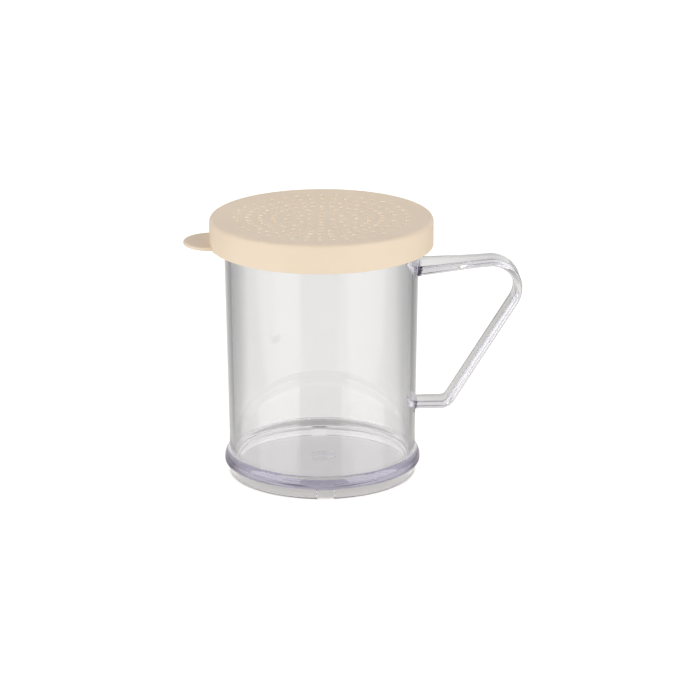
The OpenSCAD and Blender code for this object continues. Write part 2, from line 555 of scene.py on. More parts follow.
@dataclass(frozen=True)
class ClearPolycarbonate:
    """Clear polycarbonate: glossy, with a faint cool cast where it is thick, and a faint painted
    violet glow.
    """

    name: str = "clear_polycarbonate"
    tint: Colour = (0.985, 0.985, 0.985, 1.0)
    refraction: float = 1.585
    cast: Colour = (0.75, 0.73, 0.795, 1.0)
    cast_density: float = 40.0
    haze: Waves = Waves(90.0, 4.0, (1.0, 1.0, 0.45))
    gloss: Point = (0.0, 0.008)
    ripple: Waves = Waves(38.0, 1.5, (1.0, 1.0, 0.22))
    ripple_strength: float = 0.003
    ripple_depth: float = 0.0006
    # Painted glow: a faint violet emission all over the cup, standing in for light scattered
    # inside the thick plastic.
    painted_violet_glow: Colour = (0.70, 0.62, 1.0, 1.0)
    painted_violet_glow_power: float = 0.004

    def material(self) -> bpy.types.Material:
        """Makes the material.

        Returns:
            The material, with handling haze in its gloss and moulding ripple in its relief.
        """
        material, bench, surface = new_bench(self.name)
        ripple = bench.noise(self.ripple)
        bench.feed(
            surface,
            Base_Color=self.tint,
            Transmission_Weight=1.0,
            IOR=self.refraction,
            Roughness=bench.spread(bench.noise(self.haze), self.gloss),
            Normal=bench.relief(ripple, self.ripple_strength, self.ripple_depth),
            # Painted light: the faint violet emission lifts the darkest parts of the thick
            # plastic.
            Emission_Color=self.painted_violet_glow,
            Emission_Strength=self.painted_violet_glow_power,
        )
        inside = bench.node("ShaderNodeVolumeAbsorption", Color=self.cast)
        bench.feed(inside, Density=self.cast_density)
        output = material.node_tree.nodes["Material Output"]
        bench.feed(output, Volume=inside.outputs["Volume"])
        return material


@dataclass(frozen=True)
class SatinPolyethylene:
    """Opaque moulded polyethylene: warm beige and satin; its glow, off unless its power is set, is
    painted light that stands in for a little light passing into it.
    """

    name: str = "beige_polyethylene"
    light: Colour = (0.805, 0.665, 0.518, 1.0)
    deep: Colour = (0.780, 0.637, 0.490, 1.0)
    clouds: Waves = Waves(55.0, 3.0)
    refraction: float = 1.5
    grain: Waves = Waves(2600.0, 2.0)
    gloss: Point = (0.40, 0.50)
    grain_strength: float = 0.10
    grain_depth: float = 0.0001
    # Colour of the painted glow.
    glow: Colour = (1.0, 0.87, 0.72, 1.0)
    painted_glow_power: float = 0.0

    def material(self) -> bpy.types.Material:
        """Makes the material.

        Returns:
            The material, with a faint cloudiness and a fine satin grain.
        """
        material, bench, surface = new_bench(self.name)
        clouds = bench.spread(bench.noise(self.clouds), (0.0, 1.0))
        grain = bench.noise(self.grain)
        bench.feed(
            surface,
            Base_Color=bench.mix(Blend.COLOURS, clouds, self.light, self.deep),
            IOR=self.refraction,
            Roughness=bench.spread(grain, self.gloss),
            Normal=bench.relief(grain, self.grain_strength, self.grain_depth),
            # Painted glow: an emission that stands in for light passing into the plastic.
            Emission_Color=self.glow,
            Emission_Strength=self.painted_glow_power,
        )
        return material


@dataclass(frozen=True)
class SweepPaper:
    """White studio paper on a light table whose light differs from place to place.

    A beam that widens behind the cup shines through its middle. The dim fields on both
    sides of the beam draw the dark lines inside the edges of the clear wall. The table
    is dimmer in the gap between the tent's two soft boxes. Near the cup the light
    depends on the distance from its axis alone: painted shade under the cup, a painted
    bright ring round the foot and a painted shadow of the bead and the lid beyond it.
    Seen straight on, the paper is evenly white.
    """

    name: str = "sweep_paper"
    white: Colour = (0.18, 0.18, 0.18, 1.0)
    roughness: float = 0.9
    specular: float = 0.1
    light: Colour = (1.0, 0.998, 0.955, 1.0)
    # Tint of the table's light near the cup, where its shade is painted.
    shade: Colour = (1.0, 0.965, 0.94, 1.0)
    straight: float = 1.0
    footprint: float = 0.0345
    # Painted shade and light by distance from the axis: dim under the cup, a bright ring round the
    # foot, then a painted shadow of the bead and the lid.
    near: Stops = (
        (0.0, 0.46),
        (0.0200, 0.46),
        (0.0318, 0.50),
        (0.0335, 0.78),
        (0.0400, 0.78),
        (0.0415, 0.28),
        (0.0520, 0.28),
    )
    near_edge: Point = (0.050, 0.056)
    beam_half: float = 0.043
    beam_slope: float = 0.224
    beam_start: Point = (-0.01, 0.01)
    beam: Stops = (
        (0.0, 0.68),
        (0.5, 0.68),
        (0.75, 0.52),
        (1.0, 0.42),
        (1.4, 0.28),
        (2.0, 0.18),
        (2.6, 0.06),
        (3.0, 0.0),
    )
    fields: Stops = (
        (-180, 1.08),
        (-130, 1.10),
        (-110, 0.92),
        (-86, 0.76),
        (-74, 0.18),
        (-66, 0.09),
        (-40, 0.08),
        (0, 0.04),
        (48, 0.0),
        (66, 0.0),
        (77, 0.12),
        (90, 0.76),
        (110, 0.94),
        (130, 1.10),
        (180, 1.08),
    )
    gap: Stops = ((0, 0.0), (150.5, 0.0), (155, 1.0), (180, 1.0))
    gap_strength: float = 0.66

    def material(self) -> bpy.types.Material:
        """Makes the material.

        Returns:
            The matt white material with the table's light in it.
        """
        material, bench, surface = new_bench(self.name)
        place = bench.node("ShaderNodeTexCoord").outputs["Object"]
        parts = bench.node("ShaderNodeSeparateXYZ", Vector=place)
        across, along = parts.outputs["X"], parts.outputs["Y"]
        length = bench.node("ShaderNodeVectorMath")
        length.operation = "LENGTH"
        bench.plug(length.inputs[0], place)
        reach = length.outputs["Value"]

        bearing = bench.bearing(across, along)
        gap = bench.steps(bench.size(bearing), self.gap)
        dim = bench.mix(Blend.NUMBERS, gap, 1.0, self.gap_strength)
        fields = bench.times(bench.steps(bearing, self.fields), dim)

        half = bench.sum_up("MULTIPLY_ADD", along, self.beam_slope, self.beam_half)
        beam = bench.steps(bench.sum_up("DIVIDE", bench.size(across), half), self.beam)
        behind = bench.times(beam, bench.ramp(along, self.beam_start))

        away = bench.ramp(reach, self.near_edge)
        far = bench.sum_up("MAXIMUM", fields, behind)
        table = bench.mix(Blend.NUMBERS, away, bench.steps(reach, self.near), far)
        sight = bench.node("ShaderNodeLightPath").outputs["Is Camera Ray"]
        seen = bench.times(sight, bench.sum_up("GREATER_THAN", reach, self.footprint))
        bench.feed(
            surface,
            Base_Color=self.white,
            Roughness=self.roughness,
            Specular_IOR_Level=self.specular,
            Emission_Strength=bench.mix(Blend.NUMBERS, seen, table, self.straight),
            Emission_Color=bench.mix(Blend.COLOURS, away, self.shade, self.light),
        )
        return material


# ---------------------------------------------------------------------------
# Cup
# ---------------------------------------------------------------------------


@dataclass
class StrapHandle:
    """Flattened strap that leaves the wall below the rim and comes back near the foot.

    The arm's and the foot's rows are the distances of their sections from the fillets.
    """

    arm_z: float = 76.7
    elbow: Point = (80.0, 80.4)
    elbow_r: float = 9.8
    heel: Point = (45.6, 25.2)
    heel_r: float = 4.2
    width: float = 10.2
    thick: float = 2.8
    edge_r: float = 1.2
    edge_flat: float = 0.05
    root_width: float = 16.0
    root_thick: float = 3.4
    root_fillet: float = 0.8
    heel_fillet: float = 0.5
    taper_ease: float = 0.4
    wall_hug: float = 9.0
    arm_rows: tuple[float, ...] = (0.35, 0.9, 1.8, 3.2, 5.0)
    foot_rows: tuple[float, ...] = (4.2, 2.4, 1.2, 0.4)
    arm_steps: int = 14
    elbow_steps: int = 28
    slope_steps: int = 24
    heel_steps: int = 14
    corner_steps: int = 6
    flat_steps: int = 20
    side_steps: int = 2
    fillet_steps: int = 5

    @property
    def thick_steps(self) -> int:
        """Faces of a section between two corners, along its thickness."""
        return self.side_steps + self.corner_steps

    def root_z(self, root: Root) -> float:
        """Height of the middle of a root."""
        return self.arm_z if root is Root.UPPER else self.heel[1]

    def fillet(self, root: Root) -> float:
        """Radius of the fillet at a root."""
        return self.root_fillet if root is Root.UPPER else self.heel_fillet

    def root_size(self, root: Root) -> Point:
        """Width and thickness of the strap at a root, without its fillet."""
        upper = root is Root.UPPER
        return (self.root_width, self.root_thick) if upper else (self.width, self.thick)

    def section(self, width: float, thick: float, grow: float = 0.0) -> Outline:
        """Rounded rectangle, from the middle of its first corner round and back.

        Args:
            width: Size across the strap.
            thick: Size through the strap.
            grow: How far the section stands out further on every side.

        Returns:
            Points as (across, through), starting at the corner that is low across
            and high through, and running across first.
        """
        whole, half = self.corner_steps, self.corner_steps // 2
        r = min(self.edge_r, thick / 2 - self.edge_flat)
        a, b, big = width / 2 - r, thick / 2 - r, r + grow
        points = corner(-a, b, big, big, 135, 90, half)
        for across, through, start, end, flat, steps in (
            (a, b, 90, 0, self.flat_steps, whole),
            (a, -b, 0, -90, self.side_steps, whole),
            (-a, -b, -90, -180, self.flat_steps, whole),
            (-a, b, 180, 135, self.side_steps, half),
        ):
            turn = corner(across, through, big, big, start, end, steps)
            points += between(points[-1], turn[0], line(0, 1, flat)[1:-1]) + turn
        return points[:-1]

    def size_at(self, x: float, z: float, wall_x: float, bend_x: float) -> Point:
        """Width and thickness of the strap at a point of its centreline.

        Args:
            x: Distance of the point from the cup's axis.
            z: Height of the point.
            wall_x: Distance of the wall from the axis at the upper root.
            bend_x: Distance from the axis at which the elbow bend starts.

        Returns:
            Width and thickness.
        """
        if z < (self.elbow[1] + self.heel[1]) / 2 or x >= bend_x:
            return self.width, self.thick
        left = max(0.0, min(1.0, (bend_x - x) / (bend_x - wall_x)))
        e = self.taper_ease
        share = (left * left / (2 * e) if left < e else left - e / 2) / (1 - e / 2)
        return (
            self.width + (self.root_width - self.width) * share,
            self.thick + (self.root_thick - self.thick) * share,
        )


@dataclass
class CupMoulding:
    """The clear cup: floor on a foot ring, beaded base, tapered wall, rim and handle.

    Rows are the heights or radii of extra rings of points on long stretches. The notch
    is cut beyond the foot ring by its inward, outward and downward spares, and stays
    clear of the floor.
    """

    rim_z: float = 94.5
    wall_low_r: float = 33.95
    wall_top_r: float = 35.3
    wall_rows: tuple[float, ...] = (14.0, 18.5, 34.0, 46.0, 60.0, 68.0, 84.0)
    bore_low_r: float = 31.95
    bore_top_r: float = 33.0
    bore_rows: tuple[float, ...] = (72.0, 54.0, 36.0, 18.0)
    floor_corner_r: float = 1.8
    floor_corner_steps: int = 12
    floor_z: float = 5.7
    floor_t: float = 2.1
    floor_rows: tuple[float, ...] = (24.0, 16.0, 8.0, 2.0)
    under_rows: tuple[float, ...] = (12.0, 20.0, 27.0)
    foot_r: float = 34.1
    foot_bore_r: float = 31.9
    foot_row: float = 2.4
    bead_r: float = 35.85
    bead_steps: int = 14
    ledge_z: float = 4.3
    shoulder_z: float = 8.7
    notch_w: float = 5.5
    notch_h: float = 3.6
    notch_corner_r: float = 0.35
    notch_corner_steps: int = 5
    notch_flare: float = 0.5
    notch_inward: float = 0.6
    notch_outward: float = 0.8
    notch_down: float = 1.0
    notch_clear: float = 0.02
    flange_r: float = 38.7
    flange_t: float = 2.2
    mouth_r: float = 34.5
    mouth_depth: float = 4.5
    collar_r: float = 36.5
    collar_slope: float = 2.0
    edge_r: float = 0.4
    mark_r: float = 4.6
    mark_w: float = 0.6
    mark_h: float = 0.1
    nub_r: float = 0.6
    segments: int = 288
    patch_half: int = 13
    patch_spare: float = 0.9
    handle: StrapHandle = field(default_factory=StrapHandle)

    def wall_r(self, z: float) -> float:
        """Radius of the wall's outside at a height."""
        share = (z - self.shoulder_z) / (self.rim_z - self.shoulder_z)
        return self.wall_low_r + (self.wall_top_r - self.wall_low_r) * share

    def root_place(self, root: Root) -> Point:
        """Where the strap's centreline meets the wall, as (radius, height)."""
        z = self.handle.root_z(root)
        return self.wall_r(z), z

    def patch_levels(self, root: Root) -> list[float]:
        """Heights of the rows of faces that a root takes the place of.

        Args:
            root: Which root.

        Returns:
            The heights, from the lowest up.
        """
        strap, middle = self.handle, self.handle.root_z(root)
        half = strap.root_size(root)[1] / 2 + strap.fillet(root) + self.patch_spare
        return line(middle - half, middle + half, strap.thick_steps)

    def underside(self) -> Outline:
        """Outline from the gate mark in the middle of the underside to the foot's bore.

        Returns:
            The outline as (radius, height).
        """
        e, z = self.edge_r, self.floor_z - self.floor_t
        low, w = z - self.mark_h, self.mark_w
        return [
            (self.nub_r, low),
            (self.nub_r, z),
            *[
                place
                for r in (self.mark_r / 2, self.mark_r)
                for place in ((r, z), (r + w / 2, low), (r + w, z))
            ],
            *[(r, z) for r in self.under_rows],
            *corner(self.foot_bore_r - e, z - e, e, e, 90, 0),
            *corner(self.foot_bore_r + e, e, e, e, 180, 270),
        ]

    def outside(self) -> Outline:
        """Outline from the foot up over the bead and the wall to the collar.

        Returns:
            The outline as (radius, height).
        """
        e, low = self.edge_r, self.ledge_z + self.edge_r
        bead, rise = self.bead_r - self.wall_low_r, self.shoulder_z - low
        heights = sorted(
            [
                *self.wall_rows,
                *self.patch_levels(Root.LOWER),
                *self.patch_levels(Root.UPPER),
            ]
        )
        mouth_z = self.rim_z - self.mouth_depth
        return [
            *corner(self.foot_r - e, e, e, e, 270, 360),
            (self.foot_r, self.foot_row),
            (self.foot_r, self.ledge_z),
            *corner(self.bead_r - e, low, e, e, 270, 360),
            *corner(self.wall_low_r, low, bead, rise, 0, 90, self.bead_steps)[1:],
            *[(self.wall_r(z), z) for z in [*heights, mouth_z - self.collar_slope]],
            (self.collar_r, mouth_z),
        ]

    def rim(self) -> Outline:
        """Outline over the rim flange and down the stepped mouth.

        Returns:
            The outline as (radius, height).
        """
        e, under = self.edge_r, self.rim_z - self.flange_t
        return [
            (self.collar_r, under - e),
            (self.collar_r + e, under),
            *corner(self.flange_r - e, under + e, e, e, 270, 360),
            *corner(self.flange_r - e, self.rim_z - e, e, e, 0, 90),
            *corner(self.mouth_r + e, self.rim_z - e, e, e, 90, 180),
            (self.mouth_r, self.rim_z - self.mouth_depth),
            (self.bore_top_r, self.rim_z - self.mouth_depth),
        ]

    def inside(self) -> Outline:
        """Outline down the bore and in over the floor.

        Returns:
            The outline as (radius, height).
        """
        r, top = self.floor_corner_r, self.rim_z - self.mouth_depth
        low, taper = self.floor_z + r, self.bore_low_r - self.bore_top_r
        return [
            *[(self.bore_top_r + taper * (top - z) / (top - low), z) for z in self.bore_rows],
            *corner(self.bore_low_r - r, low, r, r, 0, -90, self.floor_corner_steps),
            *[(x, self.floor_z) for x in self.floor_rows],
        ]

    def shell(self, skin: Skin) -> dict[Root, list[int]]:
        """Makes the turned body, open where the handle grows out of the wall.

        Args:
            skin: The skin that takes it.

        Returns:
            For each root, the border of its opening, in the order of the strap's section.
        """
        outline = [*self.underside(), *self.outside(), *self.rim(), *self.inside()]
        rows: dict[Root, int] = {}
        for root in Root:
            low = self.patch_levels(root)[0]
            rows[root] = next(
                i
                for i, (r, z) in enumerate(outline)
                if r > self.wall_low_r and abs(z - low) < SAME
            )
        half, n = self.patch_half, self.segments
        deep = self.handle.thick_steps

        def keep(row: int, column: int) -> bool:
            """Leaves out the faces under the two roots."""
            beside = column < half or column >= n - half
            return not (beside and any(first <= row < first + deep for first in rows.values()))

        rings = revolve(skin, outline, n, keep)
        for i in (0, -1):
            skin.fan(rings[i], skin.add([(0, 0, outline[i][1])])[0])
        borders: dict[Root, list[int]] = {}
        columns = [c % n for c in range(-half, half + 1)]
        for root, first in rows.items():
            high = first + deep
            start, end, step = (high, first, -1) if root is Root.UPPER else (first, high, 1)
            borders[root] = (
                [rings[start][c] for c in columns]
                + [rings[r][columns[-1]] for r in range(start + step, end, step)]
                + [rings[end][c] for c in reversed(columns)]
                + [rings[r][columns[0]] for r in range(end - step, start, -step)]
            )
        return borders

    def root_rings(self, skin: Skin, root: Root) -> Rings:
        """Makes the fillet between the wall and a root, from the wall outwards.

        Args:
            skin: The skin that takes the points.
            root: Which root.

        Returns:
            The rings of the fillet.
        """
        strap, r = self.handle, self.handle.fillet(root)
        flip = 1 if root is Root.UPPER else -1
        width, thick = strap.root_size(root)
        rings = []
        for t in line(0, math.pi / 2, strap.fillet_steps):
            out, grow = r * (1 - math.cos(t)), r * (1 - math.sin(t))
            places = []
            for across, through in strap.section(width, thick, grow):
                z = strap.root_z(root) + flip * through
                places.append((math.sqrt(self.wall_r(z) ** 2 - across**2) + out, across, z))
            rings.append(skin.add(places))
        return rings

    def centreline(self) -> Outline:
        """Centreline of the strap, from the wall at the upper root round to the lower one.

        Returns:
            Its points, the two on the wall included.
        """
        strap = self.handle
        top, low = self.root_place(Root.UPPER), self.root_place(Root.LOWER)
        elbow = bend(top, strap.elbow, strap.heel, strap.elbow_r, strap.elbow_steps)
        heel = bend(strap.elbow, strap.heel, low, strap.heel_r, strap.heel_steps)
        arm, foot = math.dist(top, elbow[0]), math.dist(heel[-1], low)
        near = [(strap.root_fillet + d) / arm for d in strap.arm_rows]
        back = [1 - (strap.heel_fillet + d) / foot for d in strap.foot_rows]
        return [
            top,
            *between(top, elbow[0], near + line(near[-1], 1, strap.arm_steps)[1:-1]),
            *elbow,
            *between(elbow[-1], heel[0], line(0, 1, strap.slope_steps)[1:-1]),
            *heel,
            *between(heel[-1], low, back),
            low,
        ]

    def strap_rings(self, skin: Skin) -> Rings:
        """Makes the sections of the strap between its two fillets.

        Args:
            skin: The skin that takes the points.

        Returns:
            The rings, from the upper root round to the lower one.
        """
        strap, path, top = self.handle, self.centreline(), self.root_place(Root.UPPER)
        bend_x = bend(top, strap.elbow, strap.heel, strap.elbow_r, 1)[0][0]
        rings = []
        for before, (x, z), after in zip(path, path[1:], path[2:]):
            ahead = Vector((after[0] - before[0], after[1] - before[1])).normalized()
            up = Vector((-ahead.y, ahead.x))
            wall = self.wall_r(z)
            hug = 1 - ease((x - wall) / strap.wall_hug)
            places = []
            for across, through in strap.section(*strap.size_at(x, z, top[0], bend_x)):
                curve = math.sqrt(wall**2 - across**2) - wall
                places.append((x + up.x * through + hug * curve, across, z + up.y * through))
            rings.append(skin.add(places))
        return rings

    def build(self) -> Piece:
        """Makes the whole cup as one closed body.

        Returns:
            The cup.
        """
        skin = Skin()
        borders = self.shell(skin)
        skin.strips(
            [
                borders[Root.UPPER],
                *self.root_rings(skin, Root.UPPER),
                *self.strap_rings(skin),
                *reversed(self.root_rings(skin, Root.LOWER)),
                borders[Root.LOWER],
            ]
        )
        piece = skin.mesh_object("shaker_cup")
        for side in (-1, 1):
            combine(piece, self.notch_tool(side), Join.CUT)
        settle_normals(piece)
        return piece

    def notch_tool(self, side: int) -> Piece:
        """Body that cuts one drain notch through the foot ring.

        Args:
            side: -1 for the front notch, 1 for the back one.

        Returns:
            The closed body to cut away.
        """
        skin = Skin()
        r, steps, flare = self.notch_corner_r, self.notch_corner_steps, self.notch_flare
        low, top = -self.notch_down, self.notch_h - self.notch_clear
        rings = []
        for reach, more in (
            (self.foot_bore_r - self.notch_inward, flare + self.notch_inward),
            (self.foot_bore_r + flare, 0.0),
            (self.foot_r - flare, 0.0),
            (self.foot_r + self.notch_outward, flare + self.notch_outward),
        ):
            wide = self.notch_w / 2 + more
            arch = [
                (-wide, low),
                *corner(-wide + r, top - r, r, r, 180, 90, steps),
                *corner(wide - r, top - r, r, r, 90, 0, steps),
                (wide, low),
            ]
            rings.append(skin.add((x, side * reach, z) for x, z in arch))
        skin.strips(rings)
        skin.faces += [tuple(rings[0]), tuple(reversed(rings[-1]))]
        return skin.mesh_object("notch_tool")

    def dress(self, piece: Piece, finish: ClearPolycarbonate) -> None:
        """Gives the cup its finish and ties it to the cup's body.

        Args:
            piece: The cup.
            finish: Its finish.
        """
        piece.data.materials.clear()
        piece.data.materials.append(finish.material())
        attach(piece, "cup")
        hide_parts("cup")


# ---------------------------------------------------------------------------
# Lid
# ---------------------------------------------------------------------------


@dataclass
class ThumbTab:
    """Round tab that stands out from the foot of the skirt."""

    radius: float = 11.0
    reach: float = 9.5
    thick: float = 1.3
    edge_r: float = 0.5
    edge_steps: int = 6
    round_steps: int = 72

    def tool(self, lid_r: float, skirt_t: float, low: float) -> Piece:
        """Makes the tab as a closed body that reaches into the skirt.

        Args:
            lid_r: Outer radius of the skirt.
            skirt_t: Thickness of the skirt.
            low: Height of the skirt's lower edge.

        Returns:
            The closed body to grow onto the lid.
        """
        e, edge = self.edge_r, self.radius - self.edge_r
        middle = lid_r + self.reach - self.radius
        profile = [
            *corner(edge, e, e, e, -90, 0, self.edge_steps),
            *corner(edge, self.thick - e, e, e, 0, 90, self.edge_steps),
        ]
        skin = Skin()
        rows = []
        for r, z in profile:
            meet = self.meeting(r, middle, lid_r - skirt_t / 2)
            turns = line(-meet, meet, self.round_steps)
            rows.append(
                skin.add((-middle - r * math.cos(t), r * math.sin(t), low + z) for t in turns)
            )
        skin.strips(rows, closed=False)
        skin.faces += [tuple(rows[0]), tuple(reversed(rows[-1]))]
        skin.faces.append(tuple(r[0] for r in rows) + tuple(r[-1] for r in reversed(rows)))
        return skin.mesh_object("tab_tool")

    @staticmethod
    def meeting(r: float, middle: float, skirt: float) -> float:
        """Half the turn that a circle of the tab keeps outside the skirt.

        Args:
            r: Radius of the circle.
            middle: Distance of the tab's middle from the axis.
            skirt: Radius at which the circle ends.

        Returns:
            The half turn in radians, from the tab's tip.
        """
        along = (skirt**2 - middle**2 - r**2) / (2 * middle * r)
        return math.acos(max(-1.0, min(1.0, along)))


@dataclass
class SprinkleLid:
    """The beige lid: dished perforated top, skirt with a snap bead, seal ring and tab.

    Each ring of holes has its number of holes and, for each hole, the number of faces
    along the inner and the outer arc of the sector round it.
    """

    rim_z: float = 94.5
    radius: float = 40.4
    rise: float = 1.5
    plate_t: float = 1.4
    dish: float = 1.2
    brim_rows: tuple[float, ...] = (34.6, 36.4)
    skirt_t: float = 1.3
    skirt_row: float = 3.0
    height: float = 10.3
    edge_r: float = 1.6
    edge_steps: int = 12
    foot_edge_r: float = 0.2
    foot_edge_steps: int = 6
    snap_r: float = 38.35
    snap_top: float = 92.15
    snap_h: float = 1.5
    lead_in: float = 0.5
    seal_r: float = 34.2
    seal_t: float = 1.0
    seal_depth: float = 2.5
    turn_deg: float = -3.0
    hole_d: float = 1.5
    hole_lip: float = 0.18
    lip_steps: int = 3
    hole_steps: int = 24
    hole_start: float = math.pi / 2
    sector_corner: float = 3 * math.pi / 4
    # Depth range under the top and power of the painted glow on the walls and lips of the holes.
    painted_glow_depth: Point = (0.03, 1.26)
    painted_glow_power: float = 0.10
    inner_pitch: float = 4.15
    outer_pitch: float = 4.56
    inner_rings: int = 2
    ring_holes: tuple[int, ...] = (4, 12, 16, 32, 40, 40, 40)
    ring_arcs: tuple[tuple[int, int], ...] = (
        (6, 10),
        (6, 6),
        (6, 6),
        (5, 5),
        (5, 5),
        (6, 6),
        (6, 6),
    )
    seam_gap: float = 0.22
    border_trim: float = 0.2
    match_every: int = 3
    segments: int = 240
    tab: ThumbTab = field(default_factory=ThumbTab)

    @property
    def top_z(self) -> float:
        """Height of the lid's top edge."""
        return self.rim_z + self.rise

    @property
    def low_z(self) -> float:
        """Height of the skirt's lower edge."""
        return self.top_z - self.height

    @property
    def dish_r(self) -> float:
        """Radius of the sphere that the dished top is a part of."""
        edge = self.radius - self.edge_r
        return (edge**2 + self.dish**2) / (2 * self.dish)

    @property
    def seal_bore(self) -> float:
        """Inner radius of the seal ring."""
        return self.seal_r - self.seal_t

    def top_at(self, r: float) -> float:
        """Height of the dished top at a distance from the axis."""
        return self.top_z - self.dish + self.dish_r - math.sqrt(self.dish_r**2 - r**2)

    def under_at(self, r: float) -> float:
        """Height of the plate's underside at a distance from the axis."""
        big = self.dish_r + self.plate_t
        return self.top_z - self.dish + self.dish_r - math.sqrt(big**2 - r**2)

    def ring_r(self, k: int) -> float:
        """Radius of ring k of holes, counted from 1."""
        inner = min(k, self.inner_rings)
        return self.inner_pitch * inner + self.outer_pitch * (k - inner)

    def border_r(self, k: int) -> float:
        """Radius of the border between ring k of holes and the next one out.

        Args:
            k: Number of the ring, or 0 for the hole in the middle.

        Returns:
            The radius.
        """
        if k == 0:
            return self.ring_r(1) / 2
        if k == len(self.ring_holes):
            return self.ring_r(k) + self.outer_pitch / 2 - self.border_trim
        return (self.ring_r(k) + self.ring_r(k + 1)) / 2

    def perforate(self, skin: Skin) -> Border:
        """Makes the plate with all its holes.

        Args:
            skin: The skin that takes it.

        Returns:
            The outer border of the plate's upper side and of its underside.
        """
        border = self.middle_hole(skin)
        for k in range(1, len(self.ring_holes) + 1):
            border = self.hole_ring(skin, k, border)
        return border

    def rise_hole(self, skin: Skin, x: float, y: float, bearing: float) -> Border:
        """Makes the wall of one hole with its rounded lip.

        Args:
            skin: The skin that takes it.
            x: Place of the hole.
            y: Place of the hole.
            bearing: Direction of its first point in radians.

        Returns:
            The hole's ring on the upper side and its ring on the underside.
        """
        r, lip = self.hole_d / 2, self.hole_lip
        turns = round_turn(self.hole_steps, bearing)
        levels: list[tuple[float, float, Height]] = [
            (r + lip * (1 - math.cos(t)), lip * (1 - math.sin(t)), self.top_at)
            for t in line(math.pi / 2, 0, self.lip_steps)
        ]
        rings = []
        for big, drop, height in [*levels, (r, 0.0, self.under_at)]:
            places = [(x + big * math.cos(t), y + big * math.sin(t)) for t in turns]
            rings.append(skin.add((*p, height(math.hypot(*p)) - drop) for p in places))
        skin.strips(rings)
        return rings[0], rings[-1]

    def middle_hole(self, skin: Skin) -> Border:
        """Makes the hole on the axis and the plate round it.

        Args:
            skin: The skin that takes it.

        Returns:
            Border of the upper side and of the underside.
        """
        r, start, borders = self.border_r(0), self.hole_start, []
        holes = self.rise_hole(skin, 0.0, 0.0, start)
        for hole, height in zip(holes, (self.top_at, self.under_at)):
            borders.append(skin.add(circle(r, height(r), self.hole_steps, start)))
            skin.strip(hole, borders[-1])
        return borders[0], borders[1]

    def hole_ring(self, skin: Skin, k: int, inner: Border) -> Border:
        """Makes one ring of holes and the plate round them, a sector for each hole.

        Args:
            skin: The skin that takes it.
            k: Number of the ring, from 1.
            inner: Border of the plate inside it, on the upper side and on the underside.

        Returns:
            The new border of the upper side and of the underside.
        """
        count = self.ring_holes[k - 1]
        near, far = self.ring_arcs[k - 1]
        side = (self.hole_steps - near - far) // 2
        sector = 2 * math.pi / count
        r0, r1 = self.border_r(k - 1) + self.seam_gap, self.border_r(k)
        first = self.hole_start - sector / 2
        grids = []
        for height in (self.top_at, self.under_at):
            low = skin.add(circle(r0, height(r0), count * near, first))
            high = skin.add(circle(r1, height(r1), count * far, first))
            spokes = [
                skin.add(
                    (r * math.cos(t), r * math.sin(t), height(r)) for r in line(r0, r1, side)[1:-1]
                )
                for t in round_turn(count, first)
            ]
            grids.append((low, high, spokes))
        for s, t in enumerate(round_turn(count, self.hole_start)):
            x, y = self.ring_r(k) * math.cos(t), self.ring_r(k) * math.sin(t)
            rings = self.rise_hole(skin, x, y, t - self.sector_corner)
            for (low, high, spokes), hole in zip(grids, rings):
                n, m = len(low), len(high)
                border = [
                    *[low[(s * near + i) % n] for i in range(near + 1)],
                    *spokes[(s + 1) % count],
                    *[high[((s + 1) * far - i) % m] for i in range(far + 1)],
                    *reversed(spokes[s]),
                ]
                self.close_sector(skin, border, hole, (x, y))
        for (low, _, _), old in zip(grids, inner):
            self.seam(skin, old, low)
        return grids[0][1], grids[1][1]

    def close_sector(self, skin: Skin, border: list[int], hole: list[int], middle: Point) -> None:
        """Joins a sector's border to its hole, matching the points by bearing.

        Args:
            skin: The skin that takes the faces.
            border: The border's points, counter-clockwise.
            hole: The hole's points, counter-clockwise and as many as the border's.
            middle: Middle of the hole.
        """

        def bearings(ring: list[int]) -> list[float]:
            """Bearing of each point of a ring from the middle of the hole."""
            places = [skin.points[i] for i in ring]
            return [math.atan2(p.y - middle[1], p.x - middle[0]) for p in places]

        def mismatch(shift: int) -> float:
            """Tells how badly the two rings match when the hole's ring is shifted.

            Args:
                shift: Number of points that the hole's ring is shifted by.

            Returns:
                Zero where each pair of points has one bearing, and more otherwise.
            """
            return sum(
                1 - math.cos(outer[i] - inner[(i + shift) % n])
                for i in range(0, n, self.match_every)
            )

        hole, n = hole[::-1], len(hole)
        outer, inner = bearings(border), bearings(hole)
        shift = min(range(n), key=mismatch)
        skin.strip(border, [hole[(i + shift) % n] for i in range(n)])

    def seam(self, skin: Skin, inner: list[int], outer: list[int]) -> None:
        """Joins two circles of points that start at their own bearings.

        Args:
            skin: The skin that takes the faces.
            inner: The inner circle.
            outer: The outer circle.
        """

        def turned(ring: list[int]) -> list[int]:
            """Starts a ring at its first point past the +X direction.

            Args:
                ring: The ring's points, in order.

            Returns:
                The same points in the same order, from that one on.
            """
            angles = [math.atan2(*skin.points[i].yx) % (2 * math.pi) for i in ring]
            first = angles.index(min(angles))
            return ring[first:] + ring[:first]

        skin.zip(turned(inner), turned(outer))

